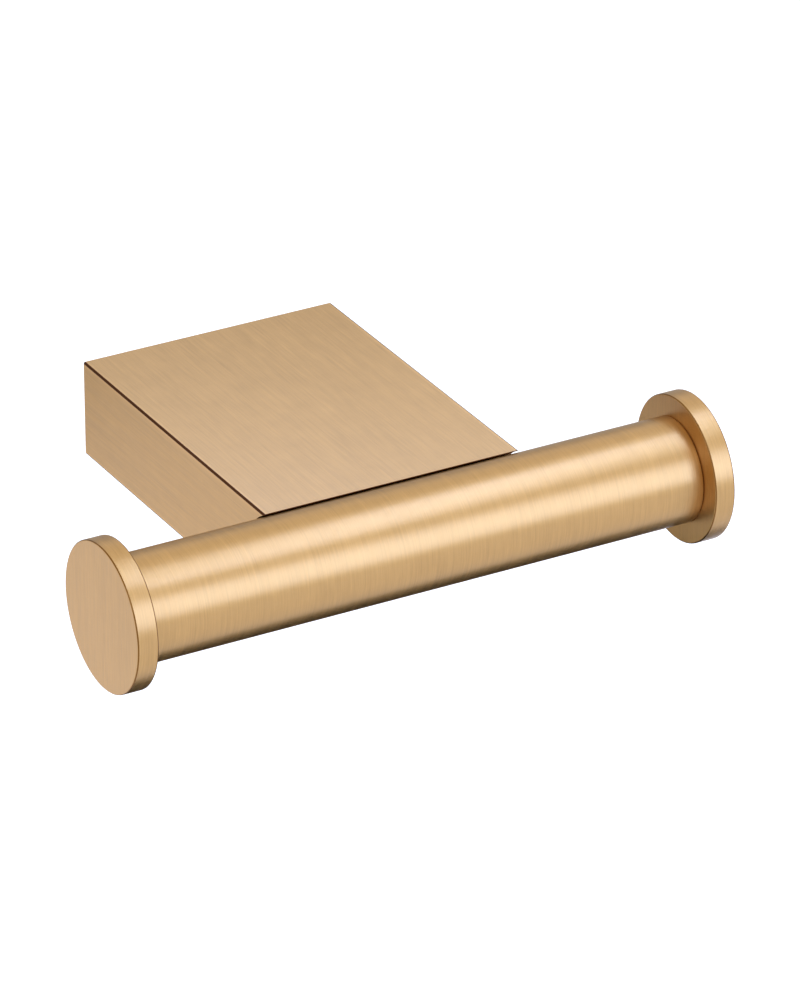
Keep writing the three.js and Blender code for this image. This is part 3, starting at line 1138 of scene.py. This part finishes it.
@dataclass
class WallAssembly:
    """The bracket on the wall, the pad behind it and the grub screws that lock the arm on it."""

    corner: float = 1.5 * MM
    edge_rounding: float = 0.15 * MM
    slot_spacing: float = 24 * MM
    slot_width: float = 5.2 * MM
    slot_length: float = 13 * MM
    head_slot_width: float = 9.4 * MM
    head_slot_depth: float = 4 * MM
    groove_depth: float = 1.2 * MM
    groove_floor: float = 1.12 * MM
    grub_pitch: float = 0.8 * MM
    grub_thread: float = 0.4 * MM
    grub_point: float = 1 * MM
    grub_socket: float = 2.5 * MM
    grub_socket_depth: float = 1.4 * MM
    overrun: float = 1 * MM

    def build(self) -> None:
        """Builds the pad, the bracket and the two grub screws."""
        self._pad()
        self._bracket()
        for side in SIDES:
            self._grub_screw(side)

    def _plate(self, name: str, node: str) -> bpy.types.Object:
        """Builds a plate as large as a CAD node, with rounded corners and both wall slots."""
        low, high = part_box(node)
        plate = block(name, low, high)
        bevel_edges(plate, runs_along_y, self.corner, segments=6)
        middle, depth = (low.y + high.y) / 2, high.y - low.y + 2 * self.overrun
        cut_away(plate, self._slots(middle, self.slot_width, self.slot_length, depth))
        return plate

    def _slots(
        self, middle: float, width: float, length: float, depth: float
    ) -> list[bpy.types.Object]:
        """The cutters of the left and the right slot."""
        cutters = []
        for sign in SIDES.values():
            centre = Vector((sign * self.slot_spacing / 2, middle, 0))
            cutters.append(slot_cutter(centre, width, length, depth))
        return cutters

    def _pad(self) -> None:
        """Builds the pad between the bracket and the wall."""
        pad = self._plate("rubber_wall_pad", "wall_pad")
        soften(pad, self.edge_rounding)
        dress(pad, RUBBER_FINISH)
        hand_over(pad, "wall_pad")

    def _bracket(self) -> None:
        """Builds the bracket, with room for the wall screws' heads and its key groove."""
        bracket = self._plate("milled_wall_bracket", "wall_bracket")
        low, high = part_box("wall_bracket")
        length = self.slot_length + self.head_slot_width - self.slot_width
        # The head slots' cutters are centred on the front face, so half of each one cuts.
        depth = 2 * self.head_slot_depth
        cut_away(bracket, self._slots(low.y, self.head_slot_width, length, depth))
        cut_away(bracket, [self._key_groove(low, high)])
        soften(bracket, self.edge_rounding)
        dress(bracket, MILLED_FINISH)
        hand_over(bracket, "wall_bracket")

    def _key_groove(self, low: Vector, high: Vector) -> bpy.types.Object:
        """The cutter of the groove that the grub screws grip: a bar with 45 degree sides."""
        across, drop = high.x + self.overrun, self.groove_depth + self.overrun
        middle, ceiling = (low.y + high.y) / 2, low.z + self.groove_depth
        mouth = self.groove_floor + drop
        bottom = Vector((-across, middle - mouth, ceiling - drop))
        groove = block("groove", bottom, Vector((across, middle + mouth, ceiling)))
        select(groove, Element.FACES, lambda face: face.normal.z > FACING)
        narrow = (1, self.groove_floor / mouth, 1)
        bpy.ops.transform.resize(value=narrow, center_override=(0, middle, ceiling))
        bpy.ops.object.mode_set(mode="OBJECT")
        return groove

    def _grub_screw(self, side: str) -> None:
        """Builds one grub screw: its socket looks down and its cone points up."""
        low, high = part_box(f"grub_screw_{side}")
        radius, length = (high.x - low.x) / 2, high.z - low.z
        shoulder = length - (radius - self.grub_point)
        edge = self.grub_thread
        outline = [
            (0.0, 0.0),
            (0.0, radius - edge),
            *thread(edge / 2, shoulder - edge / 2, radius, self.grub_pitch, edge),
            (shoulder + edge, radius - edge),
            (length, self.grub_point),
            (length, 0.0),
        ]
        screw = turned(f"cone_point_grub_screw_{side}", outline, SMALL_STEPS)
        reach = Vector((self.grub_socket_depth, 0, 0))
        cut_away(screw, [hexagon("socket", self.grub_socket, -reach, reach)])
        foot = Vector(((low.x + high.x) / 2, (low.y + high.y) / 2, low.z))
        place(screw, Matrix.Translation(foot) @ Matrix.Rotation(-math.pi / 2, 4, "Y"))
        dress(screw, GRUB_FINISH)
        hand_over(screw, f"grub_screw_{side}")


# ---- The studio ----


def direction(azimuth: float, elevation: float) -> Vector:
    """The way from the object to a lamp or a viewer.

    Args:
        azimuth: degrees round Z, 0 for straight in front and 90 for the right.
        elevation: degrees above level.

    Returns:
        The unit vector.
    """
    turn, lift = math.radians(azimuth), math.radians(elevation)
    flat = math.cos(lift)
    return Vector((math.sin(turn) * flat, -math.cos(turn) * flat, math.sin(lift)))


def aim(name: str, data: bpy.types.ID, at: Vector, target: Vector) -> bpy.types.Object:
    """Puts a lamp or a camera in the scene.

    Args:
        name: the new object's name.
        data: the lamp or the camera.
        at: where it stands.
        target: where it looks.

    Returns:
        The new object.
    """
    holder = bpy.data.objects.new(name, data)
    bpy.context.scene.collection.objects.link(holder)
    holder.location = at
    holder.rotation_mode = "QUATERNION"
    holder.rotation_quaternion = (target - at).to_track_quat("-Z", "Y")
    return holder


@dataclass(frozen=True)
class Softbox:
    """A soft rectangular lamp that looks at a target, set by its direction from the target.

    Where it names pieces, it lights those alone, as a lamp behind a flag does.
    """

    name: str
    azimuth: float
    elevation: float
    distance: float
    width: float
    height: float
    radiance: float
    colour: Colour = (0.66, 1.0, 2.15)
    lights_only: tuple[str, ...] = ()

    def build(self, target: Vector) -> None:
        """Adds the lamp.

        Args:
            target: where it looks.
        """
        lamp = bpy.data.lights.new(self.name, "AREA")
        lamp.shape = "RECTANGLE"
        lamp.size = self.width
        lamp.size_y = self.height
        lamp.color = self.colour
        lamp.energy = self.radiance * math.pi * self.width * self.height
        at = target + direction(self.azimuth, self.elevation) * self.distance
        holder = aim(self.name, lamp, at, target)
        holder.visible_camera = False
        if self.lights_only:
            lit = bpy.data.collections.new(f"lit_by_{self.name}")
            for piece in self.lights_only:
                lit.objects.link(bpy.data.objects[piece])
            holder.light_linking.receiver_collection = lit


@dataclass(frozen=True)
class Flag:
    """A plain card that the metal's reflections see and the camera doesn't."""

    name: str
    middle: tuple[float, float, float]
    width: float
    depth: float
    brightness: float
    upright: bool = False

    def build(self) -> None:
        """Adds the card, lying flat or standing upright across Y."""
        deselect()
        bpy.ops.mesh.primitive_plane_add(size=1)
        turn = Matrix.Rotation(math.pi / 2 if self.upright else 0, 4, "X")
        size = Matrix.Diagonal((self.width, self.depth, 1, 1))
        card = place(name_new(self.name), Matrix.Translation(self.middle) @ turn @ size)
        material = bpy.data.materials.new(self.name)
        material.use_nodes = True
        tree = material.node_tree
        tree.nodes.remove(tree.nodes["Principled BSDF"])
        glow = add_node(tree, "ShaderNodeEmission")
        set_inputs(glow, {"Strength": self.brightness})
        tree.links.new(glow.outputs[0], tree.nodes["Material Output"].inputs["Surface"])
        card.data.materials.append(material)
        card.visible_camera = False
        card.visible_diffuse = False
        card.visible_shadow = False
        card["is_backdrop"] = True


@dataclass
class Studio:
    """The camera, the pale floor and the soft lights.

    The camera's aim lies a little across and up from the target, in its own view.
    """

    target: Vector
    azimuth: float = -29.27
    elevation: float = 27.58
    distance: float = 1.2495
    lens: float = 252.4
    sensor: float = 36.0
    clip: tuple[float, float] = (0.01, 50.0)
    aim_across: float = -0.766 * MM
    aim_up: float = 6.986 * MM
    floor_drop: float = 0.25
    floor_size: float = 12.0
    floor_tone: float = 0.86
    floor_roughness: float = 0.9
    floor_gloss: float = 0.1
    floor_glow: float = 0.3
    floor_camera_glow: float = 0.35
    fill: float = 0.7
    # Each one's name, azimuth, elevation, distance, width, height and radiance.
    softboxes: tuple[Softbox, ...] = (
        Softbox("overhead_strip", 78.0, 64.0, 0.55, 0.42, 0.12, 3.9),
        Softbox("front_softbox", 27.0, 17.0, 0.9, 0.5, 0.6, 2.4),
        Softbox("left_softbox", -45.0, 38.0, 0.8, 0.4, 0.4, 1.9),
        Softbox("rear_softbox", 150.0, 40.0, 0.26, 0.2, 0.08, 1.5, lights_only=("brushed_arm",)),
        Softbox("low_fill", 214.0, -27.0, 0.38, 0.1, 0.12, 0.3, (1.0, 0.95, 0.8)),
    )
    # Each one's name, middle, width, depth and brightness.
    flags: tuple[Flag, ...] = (
        Flag("black_flag_below", (0.035, 0.02, -0.1), 0.16, 0.22, 0.0),
        Flag("grey_flag_behind", (0.1, 0.25, 0.0), 0.6, 0.28, 0.45, upright=True),
    )

    def build(self) -> None:
        """Builds the whole studio."""
        self._camera()
        self._world()
        self._floor()
        for softbox in self.softboxes:
            softbox.build(self.target)
        for flag in self.flags:
            flag.build()
        bpy.context.scene.view_settings.view_transform = "Standard"

    def _camera(self) -> None:
        """Adds the camera, aimed a little above the bar so that the frame holds the whole."""
        back = direction(self.azimuth, self.elevation)
        right = direction(self.azimuth + 90, 0)
        off_centre = right * self.aim_across + back.cross(right) * self.aim_up
        camera = bpy.data.cameras.new("camera")
        camera.lens = self.lens
        camera.sensor_width = self.sensor
        camera.clip_start, camera.clip_end = self.clip
        at = self.target + back * self.distance
        bpy.context.scene.camera = aim("camera", camera, at, self.target + off_centre)

    def _seen(self, tree: bpy.types.NodeTree) -> bpy.types.NodeSocket:
        """Adds a socket that is 1 where the camera, a reflection or glass looks, and else 0."""
        path = add_node(tree, "ShaderNodeLightPath").outputs
        seen = math_node(tree, "MAXIMUM", path["Is Camera Ray"], path["Is Glossy Ray"])
        return math_node(tree, "MAXIMUM", seen, path["Is Transmission Ray"])

    def _world(self) -> None:
        """Makes the surroundings: white where they are seen, and a soft fill as light."""
        world = bpy.data.worlds.new("studio")
        world.use_nodes = True
        bpy.context.scene.world = world
        tree = world.node_tree
        background = tree.nodes["Background"]
        background.inputs["Color"].default_value = (1, 1, 1, 1)
        strength = math_node(tree, "MULTIPLY_ADD", self._seen(tree), 1 - self.fill, self.fill)
        tree.links.new(strength, background.inputs["Strength"])

    def _floor(self) -> None:
        """Adds the pale floor, well below the wall fitting."""
        deselect()
        height = self.target.z - self.floor_drop
        bpy.ops.mesh.primitive_plane_add(size=self.floor_size, location=(0, 0, height))
        floor = name_new("floor")
        material = bpy.data.materials.new("pale_floor")
        material.use_nodes = True
        tree = material.node_tree
        shader = tree.nodes["Principled BSDF"]
        shader.inputs["Base Color"].default_value = (*[self.floor_tone] * 3, 1)
        shader.inputs["Emission Color"].default_value = (1, 1, 1, 1)
        gloss = {"Roughness": self.floor_roughness, "Specular IOR Level": self.floor_gloss}
        set_inputs(shader, gloss)
        seen = math_node(tree, "MULTIPLY", self._seen(tree), self.floor_glow)
        camera = add_node(tree, "ShaderNodeLightPath").outputs["Is Camera Ray"]
        glow = math_node(tree, "MULTIPLY_ADD", camera, self.floor_camera_glow, seen)
        tree.links.new(glow, shader.inputs["Emission Strength"])
        floor.data.materials.append(material)
        floor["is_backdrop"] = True


def write_sizes(cad_box: tuple[Vector, Vector]) -> None:
    """Gathers the CAD model's box and the visual model's box as plain lists.

    Args:
        cad_box: the CAD model's lowest and highest corners.
    """
    boxes = {"cad": cad_box, "visual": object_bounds()}
    plain = {name: [list(corner) for corner in box] for name, box in boxes.items()}


def main() -> None:
    """Builds the fitting and its studio, and gathers the two boxes."""
    logging.basicConfig(level=logging.INFO, format="%(message)s")
    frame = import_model()
    LOG.info("%d CAD nodes", len(frame["nodes"]))
    cad_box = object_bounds()
    bar = BarAssembly.from_frame()
    bar.build()
    for side in SIDES:
        EndFixing(bar, side).build()
    ArmAssembly.from_frame(bar).build()
    SaddleAssembly(bar).build()
    WallAssembly().build()
    Studio(target=bar.axis).build()
    write_sizes(cad_box)


if __name__ == "__main__":
    main()
